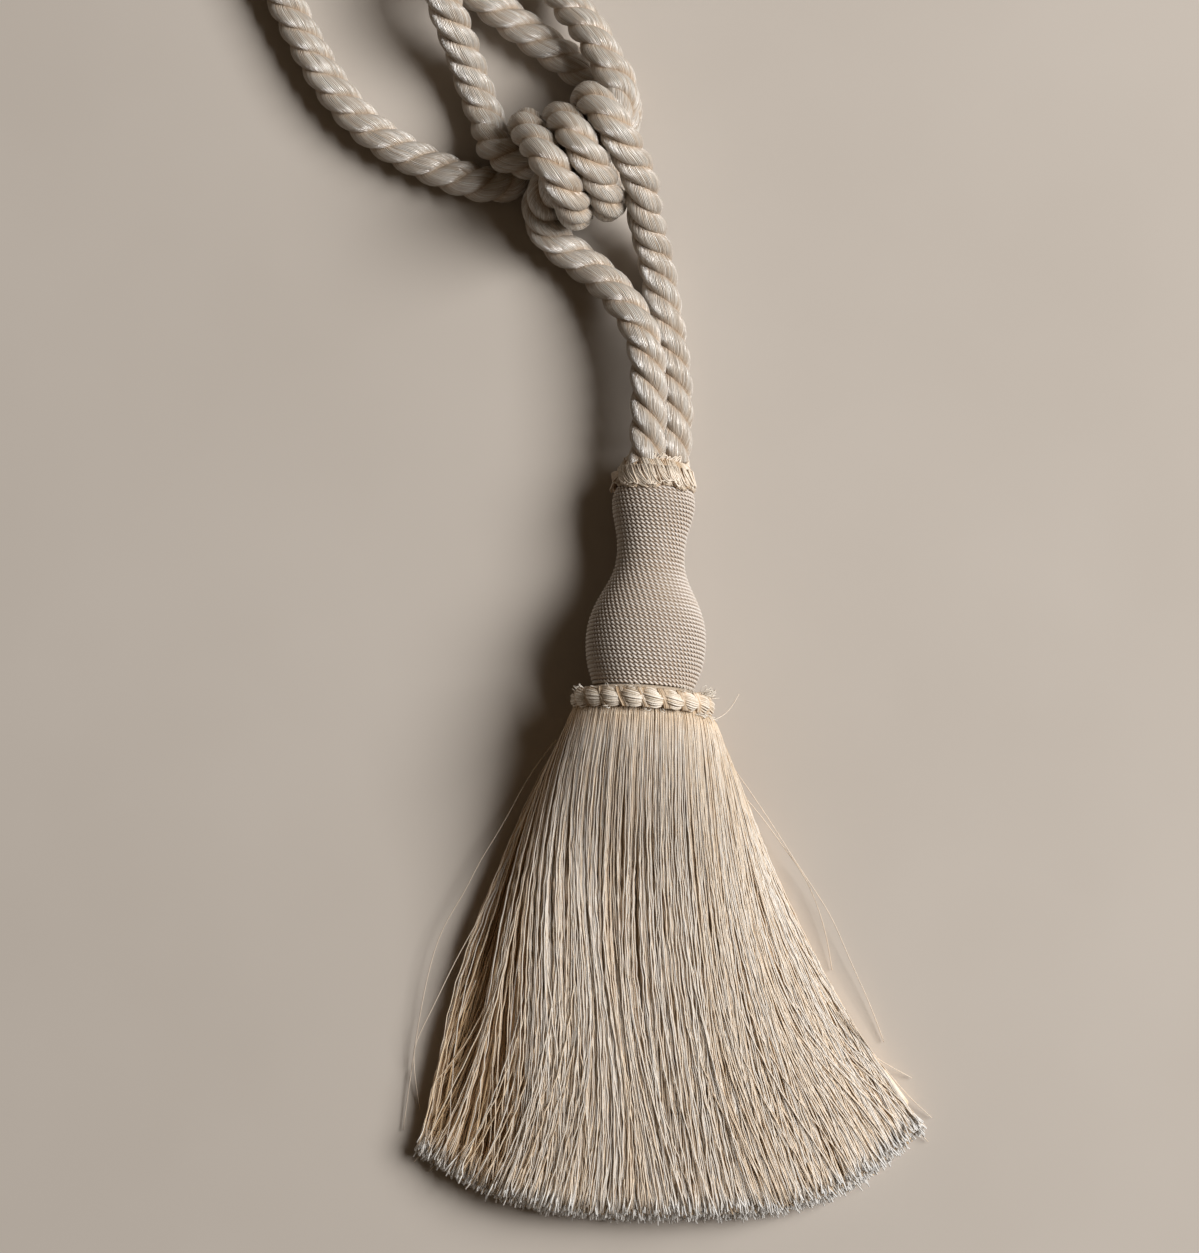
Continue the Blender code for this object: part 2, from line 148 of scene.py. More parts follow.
class Shader:
    """A Principled material and short ways to add the nodes that drive it."""

    def __init__(self, name, roughness, sheen, specular=0.5):
        self.material = bpy.data.materials.new(name)
        self.material.use_nodes = True
        self.tree = self.material.node_tree
        self.main = self.tree.nodes["Principled BSDF"]
        self.set("Roughness", roughness)
        self.set("Sheen Weight", sheen)
        self.set("Sheen Roughness", 0.35)
        self.set("Specular IOR Level", specular)

    def set(self, socket, value):
        self.main.inputs[socket].default_value = value

    def link(self, source, target):
        self.tree.links.new(source, target)

    def node(self, kind, **values):
        made = self.tree.nodes.new(kind)
        for name, value in values.items():
            setattr(made, name, value)
        return made

    def value(self, name):
        """A value that the mesh carries at each of its points."""
        return self.node("ShaderNodeAttribute", attribute_name=name).outputs["Fac"]

    def feed(self, socket, source):
        """Set a socket to a number or a colour, or link another node to it."""
        if isinstance(source, (int, float)):
            socket.default_value = source
        elif isinstance(source, tuple):
            socket.default_value = (*source, 1)
        else:
            self.link(source, socket)

    def math(self, operation, first, second=0.0, clamp=False):
        made = self.node("ShaderNodeMath", operation=operation, use_clamp=clamp)
        self.feed(made.inputs[0], first)
        self.feed(made.inputs[1], second)
        return made.outputs[0]

    def ramp(self, source, stops):
        made = self.node("ShaderNodeValToRGB")
        points = made.color_ramp.elements
        while len(points) < len(stops):
            points.new(0.5)
        for point, (position, colour) in zip(points, stops):
            point.position = position
            point.color = (*colour, 1)
        self.link(source, made.inputs["Fac"])
        return made.outputs["Color"]

    def mix(self, share, first, second, blend="MIX"):
        made = self.node("ShaderNodeMix", data_type="RGBA", blend_type=blend)
        colour_inputs = [socket for socket in made.inputs if socket.type == "RGBA"]
        self.feed(made.inputs[0], share)
        self.feed(colour_inputs[0], first)
        self.feed(colour_inputs[1], second)
        return [socket for socket in made.outputs if socket.type == "RGBA"][0]

    def noise(self, scale, detail=2.0, stretch=(1, 1, 1), source=None):
        where = source or self.node("ShaderNodeTexCoord").outputs["Object"]
        mapping = self.node("ShaderNodeMapping")
        mapping.inputs["Scale"].default_value = stretch
        self.link(where, mapping.inputs["Vector"])
        made = self.node("ShaderNodeTexNoise")
        made.inputs["Scale"].default_value = scale
        made.inputs["Detail"].default_value = detail
        self.link(mapping.outputs["Vector"], made.inputs["Vector"])
        return made.outputs["Fac"]

    def bump(self, height, distance):
        made = self.node("ShaderNodeBump")
        made.inputs["Distance"].default_value = distance
        self.link(height, made.inputs["Height"])
        return made.outputs["Normal"]


def rope_material():
    """Yarns side by side round each strand: u counts yarns, v is millimetres along them."""
    silk = Shader("rope_silk", roughness=0.30, sheen=0.05, specular=1.0)
    silk.set("IOR", ROPE_IOR)
    place = silk.node("ShaderNodeUVMap", uv_map="yarn").outputs["UV"]
    split = silk.node("ShaderNodeSeparateXYZ")
    silk.link(place, split.inputs["Vector"])
    wobble = silk.noise(0.5, 2.0, (0.6, 0.2, 1), place)
    stray = silk.math("MULTIPLY", silk.math("SUBTRACT", wobble, 0.5), 1.6)
    across = silk.math("ADD", split.outputs["X"], stray)
    ridge = silk.math("ABSOLUTE", silk.math("SINE", silk.math("MULTIPLY", across, math.pi)))
    yarn = silk.math("POWER", ridge, 0.6)
    fibres = silk.noise(1.0, 2.0, (1.7, 0.10, 1), place)
    height = silk.math("ADD", silk.math("MULTIPLY", yarn, 0.7), silk.math("MULTIPLY", fibres, 1.3))
    number = silk.node("ShaderNodeTexWhiteNoise", noise_dimensions="1D")
    silk.link(silk.math("FLOOR", across), number.inputs["W"])
    shares = silk.math("MULTIPLY", number.outputs["Value"], 0.5), silk.math("MULTIPLY", fibres, 0.9)
    surface = silk.ramp(silk.math("MULTIPLY", silk.math("ADD", *shares), 0.98), ROPE_TONES)
    # Painted shade in the valleys between the yarns
    surface = silk.mix(0.9, surface, silk.ramp(yarn, ROPE_PAINTED_GAP_SHADE), "MULTIPLY")
    # Painted shade: warm brown on each strand's inner side, in the grooves, from the painted shade value
    painted_shade_amber = silk.mix(1.0, surface, ROPE_PAINTED_SHADE_AMBER, "MULTIPLY")
    share = silk.node("ShaderNodeMapRange")
    share.inputs["From Min"].default_value = 0.10
    share.inputs["From Max"].default_value = 0.60
    silk.link(silk.value("painted_shade"), share.inputs["Value"])
    silk.link(silk.mix(share.outputs["Result"], surface, painted_shade_amber), silk.main.inputs["Base Color"])
    silk.link(silk.bump(height, ROPE_RELIEF), silk.main.inputs["Normal"])
    return silk.material


def thread_material(name, light, dark, painted_shade_amber, relief, ior=1.5):
    """Fine thread: tone is each thread's own shade of colour; the painted shade value is shade painted into
    the colour, set from how far the thread lies under the others and from its underside.
    """
    silk = Shader(name, roughness=THREAD_ROUGHNESS, sheen=0.15, specular=0.5)
    silk.set("Sheen Tint", THREAD_TINT)
    silk.set("IOR", ior)
    tone = silk.value("tone")
    # The fine specks both roughen each thread (the bump below) and lighten and darken its colour in small
    # spots, partly its own uneven tone, partly painted glints along the twist
    specks = silk.noise(THREAD_SPECKS, 1.0)
    mixed = silk.math("ADD", silk.math("MULTIPLY", tone, 0.6), silk.math("MULTIPLY", specks, 0.8))
    surface = silk.ramp(mixed, [(0.35, dark), (0.95, light)])
    painted_shade = silk.value("painted_shade")
    # Painted shade: the colour turns warm brown as the painted shade value rises to 1, and darker brown
    # above 1
    painted_shade_surface = silk.mix(1.0, surface, painted_shade_amber, "MULTIPLY")
    surface = silk.mix(silk.math("ADD", painted_shade, 0.0, clamp=True), surface, painted_shade_surface)
    painted_deepest_surface = silk.mix(1.0, surface, THREAD_PAINTED_DEEPEST_SHADE, "MULTIPLY")
    below = silk.math("SUBTRACT", painted_shade, 1.0, clamp=True)
    silk.link(silk.mix(below, surface, painted_deepest_surface), silk.main.inputs["Base Color"])
    silk.link(silk.bump(specks, relief), silk.main.inputs["Normal"])
    return silk.material


def floor_material():
    stone = Shader("floor", roughness=0.9, sheen=0.0, specular=0.2)
    grain = stone.noise(9.0, 3.0)
    stone.link(stone.ramp(grain, FLOOR_TONES), stone.main.inputs["Base Color"])
    return stone.material


# Meshes


def tube_walls(numbers):
    """Faces between the rings of closed tubes, from the numbers of their points (.., rings, sides)."""
    onward = np.roll(numbers, -1, axis=-1)
    corners = [numbers[..., :-1, :], onward[..., :-1, :], onward[..., 1:, :], numbers[..., 1:, :]]
    return np.stack(corners, axis=-1).reshape(-1, 4)


class Yarns:
    """Gathers tubes and surfaces, and writes them as one mesh."""

    def __init__(self):
        self.points = []
        self.corners = []
        self.sizes = []
        self.marks = []
        self.places = []
        self.count = 0

    def add(self, points, faces, tone, painted_shade, places=None):
        """Points (n, 3), faces as arrays of one corner count each, values per point."""
        points = points.reshape(-1, 3)
        total = len(points)
        marks = np.empty((total, 2))
        marks[:, 0] = np.broadcast_to(tone, total)
        marks[:, 1] = np.broadcast_to(painted_shade, total)
        for number, group in enumerate(faces):
            self.corners.append((group + self.count).ravel())
            self.sizes.append(np.full(len(group), group.shape[1]))
            if places is not None and places[number] is not None:
                self.places.append(places[number].reshape(-1, 2))
            else:
                self.places.append(np.zeros((group.size, 2)))
        self.points.append(points)
        self.marks.append(marks)
        self.count += total

    def add_tubes(self, paths, radii, sides, reference, tone, painted_shade, painted_flank_shade=0.0):
        """Capped round tubes along paths (threads, steps, 3), each a crest towards its reference.

        On the side away from the crest the painted shade rises by the painted flank shade, though that rise
        takes it no higher than 1.
        """
        count, steps = paths.shape[:2]
        ways = np.gradient(paths, axis=1)
        ways /= np.linalg.norm(ways, axis=2, keepdims=True) + 1e-9
        side = np.broadcast_to(reference, paths.shape)
        side = side - (side * ways).sum(axis=2, keepdims=True) * ways
        side /= np.linalg.norm(side, axis=2, keepdims=True) + 1e-9
        up = np.cross(ways, side)
        turns = np.arange(sides) * math.tau / sides
        ring = np.cos(turns)[:, None] * side[:, :, None] + np.sin(turns)[:, None] * up[:, :, None]
        radii = np.broadcast_to(radii, (count, steps))
        points = paths[:, :, None] + radii[:, :, None, None] * ring
        numbers = np.arange(count * steps * sides).reshape(count, steps, sides)
        faces = [tube_walls(numbers), numbers[:, 0, ::-1], numbers[:, -1]]
        tone = np.repeat(np.broadcast_to(tone, (count, steps)).ravel(), sides)
        around = painted_flank_shade * (0.5 - 0.5 * np.cos(turns))
        painted_shade = np.broadcast_to(painted_shade, (count, steps))[:, :, None]
        painted_shade = np.maximum(painted_shade, np.minimum(painted_shade + around, 1.0))
        self.add(points, faces, tone, painted_shade.ravel())

    def write(self, name, material):
        points = (np.concatenate(self.points) + SHIFT) * MM
        corners = np.concatenate(self.corners).astype(np.int32)
        sizes = np.concatenate(self.sizes)
        starts = np.concatenate([[0], np.cumsum(sizes)[:-1]]).astype(np.int32)
        mesh = bpy.data.meshes.new(name)
        mesh.vertices.add(len(points))
        mesh.vertices.foreach_set("co", points.ravel())
        mesh.loops.add(len(corners))
        mesh.loops.foreach_set("vertex_index", corners)
        mesh.polygons.add(len(starts))
        mesh.polygons.foreach_set("loop_start", starts)
        mesh.update(calc_edges=True)
        mesh.polygons.foreach_set("use_smooth", np.full(len(starts), True))
        marks = np.concatenate(self.marks)
        # Each point carries its own tone and its painted shade
        for column, label in enumerate(("tone", "painted_shade")):
            values = mesh.attributes.new(label, "FLOAT", "POINT")
            values.data.foreach_set("value", marks[:, column].astype(np.float32))
        layer = mesh.uv_layers.new(name="yarn")
        layer.data.foreach_set("uv", np.concatenate(self.places).ravel().astype(np.float32))
        mesh.update()
        mesh.materials.append(material)
        return placed(name, mesh)


def stand_in(piece, node):
    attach(piece, "root")
    if node:
        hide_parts(node)


def unit(vectors):
    """The same vectors at length 1, one in each row."""
    return vectors / np.linalg.norm(vectors, axis=-1, keepdims=True)


def run_along(line):
    """How far along the line each of its points lies."""
    return np.concatenate([[0], np.cumsum(np.linalg.norm(np.diff(line, axis=0), axis=1))])


def smooth_step(share):
    share = np.clip(share, 0.0, 1.0)
    return share * share * (3 - 2 * share)


# Rope route, as in the CAD part
ROPE_DIAMETER = 12.0
ROPE_LAY = 23.7
CLOSE_STEP = 1.6
SETTLING_ROUNDS = 120
SAME_STRETCH = 24.0
FIT_GAP = 0.3
PUSH_SHARE = 0.9
SIDEWAYS_SHARE = 0.6
EASING_ROUNDS = 6

KNOT_X = -27.4
KNOT_Y = 211.9
KNOT_HEIGHT = 17.6
KNOT_RISE = 13.0
KNOT_HALF_WIDTH = 15.0
KNOT_GIRTH = 0.86
KNOT_AXIS = (0.893, 0.45)
TURN_AXIS = (0.45, -0.893)

# Girth is a share of the rope's full thickness; by itself a stop lies on the table at full girth
Stop = namedtuple("Stop", "x y height girth", defaults=(6.2, 1.0))
TurnStop = namedtuple("TurnStop", "angle along across")
WholeTurn = namedtuple("WholeTurn", "start end across half_width")

RIGHT_TAIL = [
    Stop(0.3, 120.6, 7.6, 0.90),
    Stop(0.8, 130.1, 6.4),
    Stop(0.0, 150.6),
    Stop(-2.8, 167.5),
    Stop(-5.4, 183.3, 9.0),
    Stop(-8.6, 194.9, 17.0, 0.95),
]
FIRST_TURN = [
    TurnStop(45, 12.6, 2.0),
    TurnStop(80, 11.4, 0.0),
    TurnStop(112, 10.4, 0.0),
    TurnStop(145, 9.2, 0.0),
    TurnStop(180, 8.0, 0.0),
]
WHOLE_TURNS = [
    WholeTurn(8.0, 0.2, 0.3, 15.6),
    WholeTurn(0.2, -10.0, -1.6, 15.2),
]
TURN_STEP = 36
LEFT_ARM = [
    Stop(-45.5, 216.3, 8.0, 0.86),
    Stop(-48.1, 210.3, 6.0, 0.92),
    Stop(-54.0, 205.9, 6.0, 0.97),
    Stop(-64.7, 207.1),
    Stop(-81.0, 214.0),
    Stop(-95.5, 223.5),
    Stop(-107.1, 236.7),
    Stop(-116.9, 254.0),
    Stop(-124.7, 270.0),
    Stop(-136, 298),
    Stop(-139, 323),
    Stop(-136, 349),
    Stop(-123, 367),
    Stop(-105, 373, 8.0),
    Stop(-88, 364, 17.0),
    Stop(-79, 350, 19.0),
    Stop(-76, 334, 15.0),
    Stop(-75, 318, 11.0),
    Stop(-75.7, 299.9, 13.0),
    Stop(-75.1, 280.1, 18.5),
    Stop(-72.3, 265.0, 19.5),
    Stop(-67.8, 252.8, 14.5),
    Stop(-64.0, 242.6, 8.5),
    Stop(-60.9, 232.9),
    Stop(-56.5, 223.4, 6.8),
    Stop(-50.2, 216.0, 10.0),
]
LOWER_PASS = [
    Stop(-42.3, 211.1, 14.0, 0.86),
    Stop(-34.1, 210.5, 16.5, 0.86),
    Stop(-25.7, 214.7, 15.2, 0.86),
]
RIGHT_ARM = [
    Stop(-20.1, 222.3, 10.0, 0.90),
    Stop(-20.4, 231.6, 6.8, 0.97),
    Stop(-25.1, 238.6),
    Stop(-36.4, 247.0),
    Stop(-49.0, 256.2),
    Stop(-60.9, 265.6),
    Stop(-73, 276),
    Stop(-85, 290),
    Stop(-92, 311),
    Stop(-91, 334),
    Stop(-83, 353),
    Stop(-67, 365),
    Stop(-48, 364),
    Stop(-33, 352),
    Stop(-28, 331),
    Stop(-30, 309),
    Stop(-36, 290),
    Stop(-38, 274, 7.5),
    Stop(-34.2, 263.5, 11.0),
    Stop(-27.6, 254.9, 15.5),
    Stop(-22.0, 245.2, 19.5),
    Stop(-19.5, 235.7, 20.5),
    Stop(-19.2, 227.6, 21.0, 0.90),
]
UPPER_PASS = [
    Stop(-22.6, 218.1, 22.0, 0.86),
    Stop(-30.6, 212.5, 22.0, 0.86),
]
LEFT_TAIL = [
    Stop(-37.8, 205.4, 20.0, 0.86),
    Stop(-41.3, 199.0, 14.0, 0.95),
    Stop(-39.2, 191.1, 9.0),
    Stop(-32.6, 184.4, 7.0),
    Stop(-25.1, 178.7, 8.0),
    Stop(-17.0, 170.4, 12.0),
    Stop(-10.8, 160.8, 15.0),
    Stop(-7.6, 148.3, 15.8),
    Stop(-7.4, 131.1, 15.4),
    Stop(-8.0, 120.6, 16.6, 0.90),
]


def knot_turn(angle, along, across, half_width=KNOT_HALF_WIDTH):
    """A point of a turn: at angle 0 it is at the knot's lower right, at 90 on top of it."""
    turn = math.radians(angle)
    reach = across + half_width * math.cos(turn)
    x = KNOT_X + KNOT_AXIS[0] * along + TURN_AXIS[0] * reach
    y = KNOT_Y + KNOT_AXIS[1] * along + TURN_AXIS[1] * reach
    return Stop(x, y, KNOT_HEIGHT + KNOT_RISE * math.sin(turn), KNOT_GIRTH)


def knot_turns():
    """The turns of the knot: each slides along it underneath and goes straight over the top."""
    stops = [knot_turn(*stop) for stop in FIRST_TURN]
    for turn in WHOLE_TURNS:
        for angle in range(180 + TURN_STEP, 541, TURN_STEP):
            slid = float(smooth_step((angle - 200) / 160))
            along = turn.start + (turn.end - turn.start) * slid
            stops.append(knot_turn(angle, along, turn.across, turn.half_width))
    return stops


def smooth_line(stops, step):
    """Points a step apart on a natural cubic spline through the stops."""
    knots = np.array(stops)
    spans = np.sqrt(np.linalg.norm(np.diff(knots[:, :3], axis=0), axis=1))
    times = np.concatenate([[0], np.cumsum(spans)])
    count = len(times)
    system = np.eye(count)
    bends = np.zeros_like(knots)
    slopes = np.diff(knots, axis=0) / spans[:, None]
    for i in range(1, count - 1):
        system[i, i - 1:i + 2] = spans[i - 1], 2 * (spans[i - 1] + spans[i]), spans[i]
        bends[i] = 6 * (slopes[i] - slopes[i - 1])
    bends = np.linalg.solve(system, bends)
    fine = np.linspace(0, times[-1], count * 60)
    i = np.clip(np.searchsorted(times, fine) - 1, 0, count - 2)
    span = spans[i][:, None]
    before = (fine - times[i])[:, None]
    after = span - before
    line = (bends[i] * after**3 + bends[i + 1] * before**3) / (6 * span)
    line += (knots[i] / span - bends[i] * span / 6) * after
    line += (knots[i + 1] / span - bends[i + 1] * span / 6) * before
    return even_line(line, step)


def even_line(line, step):
    """The same line with its points the same distance apart, close to the step."""
    run = run_along(line[:, :3])
    places = np.linspace(0, run[-1], int(round(run[-1] / step)) + 1)
    return np.column_stack([np.interp(places, run, line[:, k]) for k in range(line.shape[1])])


def eased(values):
    """Each value drawn towards its two neighbours; the end values stay."""
    result = values.copy()
    result[1:-1] = (values[:-2] + 2 * values[1:-1] + values[2:]) / 4
    return result


def settled_line(line):
    """The line after its stretches have pushed each other apart until they only touch."""
    points = line[:, :3].copy()
    girths = line[:, 3]
    order = np.arange(len(points))
    apart = np.abs(order[:, None] - order[None]) * CLOSE_STEP
    needed = (girths[:, None] + girths[None]) / 2 * ROPE_DIAMETER + FIT_GAP
    needed[apart < SAME_STRETCH] = 0
    ends = points[[0, -1]]
    for turn in range(SETTLING_ROUNDS):
        offsets = points[:, None] - points[None]
        distances = np.linalg.norm(offsets, axis=2) + 1e-6
        lacks = (needed - distances).clip(0)
        worst = lacks.argmax(axis=1)
        share = lacks[order, worst] / distances[order, worst] / 2
        moves = offsets[order, worst] * share[:, None]
        moves[:, :2] *= SIDEWAYS_SHARE
        for _ in range(EASING_ROUNDS):
            moves = eased(moves)
        points += PUSH_SHARE * moves
        points[:, 2] = np.maximum(points[:, 2], girths * ROPE_DIAMETER / 2 + ON_TABLE)
        if turn % 3 == 0:
            bends = eased(points) - points
            points += bends - (eased(points + bends) - points - bends)
        points[[0, -1]] = ends
    for _ in range(EASING_ROUNDS):
        points = eased(points)
    return np.column_stack([points, girths])


def rope_line(step):
    """Centre line of the whole rope, from the head, through the knot and both arms, to the head."""
    stops = RIGHT_TAIL + knot_turns() + LEFT_ARM + LOWER_PASS + RIGHT_ARM + UPPER_PASS + LEFT_TAIL
    close = settled_line(smooth_line(stops, CLOSE_STEP))
    return even_line(close, step)


# Rope
ROPE_STEP = 1.2
TAIL_LENGTH = 75.0
TAIL_EASING = 2.6
STRAND_OFFSET = 2.85
STRAND_RADIUS = 3.1
STRAND_SIDES = 18
YARNS_ROUND = 36
YARN_LAY = 12.35
YARN_RISE = 0.535
ROPE_ENDS_INSIDE = 4


def carried_frames(line):
    """Two directions square to the line at each point, turning no more than the line does."""
    ways = unit(np.gradient(line, axis=0))
    side = np.cross(ways[0], (0, 0, 1))
    side /= np.linalg.norm(side)
    sides = []
    for way in ways:
        side = side - way * side.dot(way)
        side = side / np.linalg.norm(side)
        sides.append(side)
    sides = np.array(sides)
    return ways, sides, np.cross(ways, sides)


def make_rope(material):
    route = rope_line(ROPE_STEP)
    inside = np.arange(1, ROPE_ENDS_INSIDE + 1)[:, None]
    before = route[0] + inside[::-1] * (route[0] - route[1])
    after = route[-1] + inside * (route[-1] - route[-2])
    line = np.concatenate([before, route, after])
    centre = line[:, :3]
    # The yarns fill the knot, where the solid rope only touches itself
    girth = 0.857 + 0.143 * line[:, 3]
    run = run_along(centre)
    ways, side, up = carried_frames(centre)
    to_end = np.minimum(run, run[-1] - run)
    lay = ROPE_LAY + TAIL_EASING * smooth_step(1.4 - to_end / TAIL_LENGTH)
    twist = np.concatenate([[0], np.cumsum(np.diff(run) * (1 / lay[1:] + 1 / lay[:-1]) / 2)])
    yarns = Yarns()
    rings = len(centre)
    around = math.pi + np.arange(STRAND_SIDES + 1) * math.tau / STRAND_SIDES
    for strand in range(3):
        turn = math.tau * (strand / 3 - twist)
        out = np.cos(turn)[:, None] * side + np.sin(turn)[:, None] * up
        strand_centre = centre + out * (STRAND_OFFSET * girth)[:, None]
        onward = unit(np.gradient(strand_centre, axis=0))
        out = unit(out - onward * (out * onward).sum(axis=1, keepdims=True))
        sideways = np.cross(onward, out)
        ring = np.cos(around[:-1])[:, None] * out[:, None]
        ring = ring + np.sin(around[:-1])[:, None] * sideways[:, None]
        points = strand_centre[:, None] + ring * (STRAND_RADIUS * girth)[:, None, None]
        points[:, :, 2] = np.maximum(points[:, :, 2], 0.05)
        numbers = np.arange(rings * STRAND_SIDES).reshape(rings, STRAND_SIDES)
        turns = around / math.tau * YARNS_ROUND
        slip = YARNS_ROUND * run / YARN_LAY
        u = turns[None] - slip[:, None] + 100.0 * strand
        girth_run = around * STRAND_RADIUS
        v = run[:, None] * YARN_RISE + girth_run[None] * math.sqrt(1 - YARN_RISE ** 2)
        places = np.stack([u, v], axis=-1)
        corners = np.stack([places[:-1, :-1], places[:-1, 1:], places[1:, 1:], places[1:, :-1]], axis=2)
        # Painted shade: none on each strand's outer crest, full on its inner side, in the grooves
        painted_shade = np.broadcast_to(0.5 - 0.5 * np.cos(around[:-1])[None], numbers.shape).ravel()
        faces = [tube_walls(numbers), numbers[:1, ::-1], numbers[-1:]]
        yarns.add(points, faces, 0.5, painted_shade, [corners, None, None])
    rope = yarns.write("laid_rope", material)
    stand_in(rope, "rope")


# Wound head
HEAD_OUTLINE = [
    (-2.5, 9.0), (-0.6, 11.6), (3.4, 13.0), (8.5, 12.6), (14.5, 11.2), (20.5, 10.7), (26.5, 11.6),
    (33.5, 14.9), (40.5, 17.8), (47.5, 18.8), (54.5, 18.2), (60.0, 16.6), (63.4, 15.2),
]
ROW_PITCH = 1.30
PLY_LENGTH = 1.64
PLY_SHIFT = 0.765
PLY_OFFSET = 0.38
PLY_RADIUS = 0.36
CORD_STEP = 0.46
CORD_SAMPLES = 12000
PLY_SIDES = 4
CORE_LOWEST = 0.2


def outward(angle):
    """Direction square to the tassel's axis; angle 0 is upwards and grows towards +X."""
    angle = np.asarray(angle)
    return np.cos(angle)[..., None] * UPWARD + np.sin(angle)[..., None] * ACROSS


def around_axis(along, radius, angle):
    """A point about the tassel's axis, at these angles as outward takes them."""
    reach = np.asarray(radius)[..., None] * outward(angle)
    return AXIS_START + np.asarray(along)[..., None] * AXIS + reach


def make_head(material):
    """One cord of two plies, wound round the mould in close rows, over a plain core."""
    rng = np.random.default_rng(3)
    stops = [(along, radius, 0.0, 0.0) for along, radius in HEAD_OUTLINE]
    outline = smooth_line(stops, 0.25)[:, :2]
    run = run_along(outline)
    slopes = unit(np.gradient(outline, axis=0))
    turns_total = (run[-1] - ROW_PITCH) / ROW_PITCH
    fine = np.linspace(0, turns_total, CORD_SAMPLES)
    reach = np.interp(fine * ROW_PITCH, run, outline[:, 1])
    cord = np.concatenate([[0], np.cumsum(math.tau * (reach[1:] + reach[:-1]) / 2 * np.diff(fine))])
    steps = int(cord[-1] / CORD_STEP)
    turns = np.interp(np.linspace(0, cord[-1], steps), cord, fine)
    # Plies of each turn, so that they line up in slanting rows from one turn to the next
    numbers = np.arange(int(turns_total) + 2)
    girths = math.tau * np.interp((numbers + 0.5) * ROW_PITCH, run, outline[:, 1])
    plies = np.round(girths / PLY_LENGTH - PLY_SHIFT) + PLY_SHIFT
    counted = np.interp(turns, np.arange(len(plies) + 1), np.concatenate([[0], np.cumsum(plies)]))
    middle = (turns + 0.5) * ROW_PITCH
    paths = []
    painted_shades = []
    for ply in range(2):
        roll = math.pi * (counted + ply)
        at = middle + PLY_OFFSET * np.sin(roll)
        lift = PLY_OFFSET * np.cos(roll) - PLY_OFFSET - PLY_RADIUS
        along = np.interp(at, run, outline[:, 0]) - np.interp(at, run, slopes[:, 1]) * lift
        radius = np.interp(at, run, outline[:, 1]) + np.interp(at, run, slopes[:, 0]) * lift
        paths.append(around_axis(along, radius, turns * math.tau))
        # Painted shade: each ply darkens to warm brown where it rolls under, away from the outside
        painted_shades.append(np.clip(0.75 - 0.9 * np.cos(roll), 0, 1))
    paths = np.array(paths)
    paths[:, :, 2] = np.maximum(paths[:, :, 2], ON_TABLE + 0.1)
    rows = rng.random(len(numbers) + 1)
    tone = 0.35 + 0.4 * np.interp(turns, np.arange(len(rows)), rows)
    yarns = Yarns()
    crests = outward(turns * math.tau)[None]
    yarns.add_tubes(paths, PLY_RADIUS, PLY_SIDES, crests, tone, np.array(painted_shades))
    core = outline[::8].copy()
    core[:, 1] -= PLY_OFFSET + PLY_RADIUS
    core = np.concatenate([[[core[0, 0] + 0.4, 0.02]], core, [[core[-1, 0] - 0.2, 0.02]]])
    # The core under the cord is painted in full shade
    add_turned(yarns, core, steps=72, painted_shade=1.0)
    stand_in(yarns.write("wound_head", material), "head")


def add_turned(yarns, outline, steps, painted_shade):
    """A closed turned surface about the axis from rows of (along, radius)."""
    angle = np.broadcast_to(np.arange(steps) * math.tau / steps, (len(outline), steps))
    points = around_axis(outline[:, :1] + 0 * angle, outline[:, 1:] + 0 * angle, angle)
    points[:, :, 2] = np.maximum(points[:, :, 2], CORE_LOWEST)
    numbers = np.arange(len(outline) * steps).reshape(-1, steps)
    onward = np.roll(numbers, -1, axis=1)
    walls = np.stack([onward[:-1], onward[1:], numbers[1:], numbers[:-1]], axis=-1)
    yarns.add(points, [walls.reshape(-1, 4), numbers[:1], numbers[-1:, ::-1]], 0.4, painted_shade)


class Bundle:
    """Paths of yarns about the tassel's axis, laid together as tubes."""

    def __init__(self):
        self.paths = []
        self.crests = []
        self.painted_shades = []
        self.tones = []

    def add(self, along, radius, angle, crest, painted_shade, tone):
        self.paths.append(around_axis(along, radius, angle))
        self.crests.append(outward(crest))
        self.painted_shades.append(np.clip(painted_shade, 0, 1))
        self.tones.append(tone)

    def lay(self, yarns, radius, sides, lowest, painted_flank_shade):
        paths = np.array(self.paths)
        paths[:, :, 2] = np.maximum(paths[:, :, 2], lowest)
        crests = np.array(self.crests)[:, None]
        tones = np.array(self.tones)[:, None]
        yarns.add_tubes(paths, radius, sides, crests, tones, np.array(self.painted_shades), painted_flank_shade)


# Beaded collar below the head
COLLAR_OUTLINE = [
    (-4.5, 0.5), (-4.4, 15.3), (-2.9, 17.4), (-0.8, 19.4), (0.8, 19.6), (2.0, 18.8), (2.6, 17.0), (2.6, 0.5),
]
BEADS = 20
BEAD_TOP = -0.14
BEAD_ARCS = 10
SLANTING_YARNS = 7
COLLAR_YARN_RADIUS = 0.36
CURLS = 150
CURLS_AT_RIGHT = 50
CURL_RIGHT = 1.45
CURL_STEPS = 9
CURL_YARN_RADIUS = 0.12


def curls(centres, outs, asides, radius, rng):
    """Small open curls of one yarn, as paths, about a centre in the plane of two directions."""
    turns = np.linspace(0, 1, CURL_STEPS)[None, :, None] * math.tau * 0.85
    size = (radius * (0.6 + 0.8 * rng.random(len(centres))))[:, None, None]
    reach = size * (1 - np.cos(turns))
    return centres[:, None] + outs[:, None] * reach + asides[:, None] * size * np.sin(turns) * 0.8


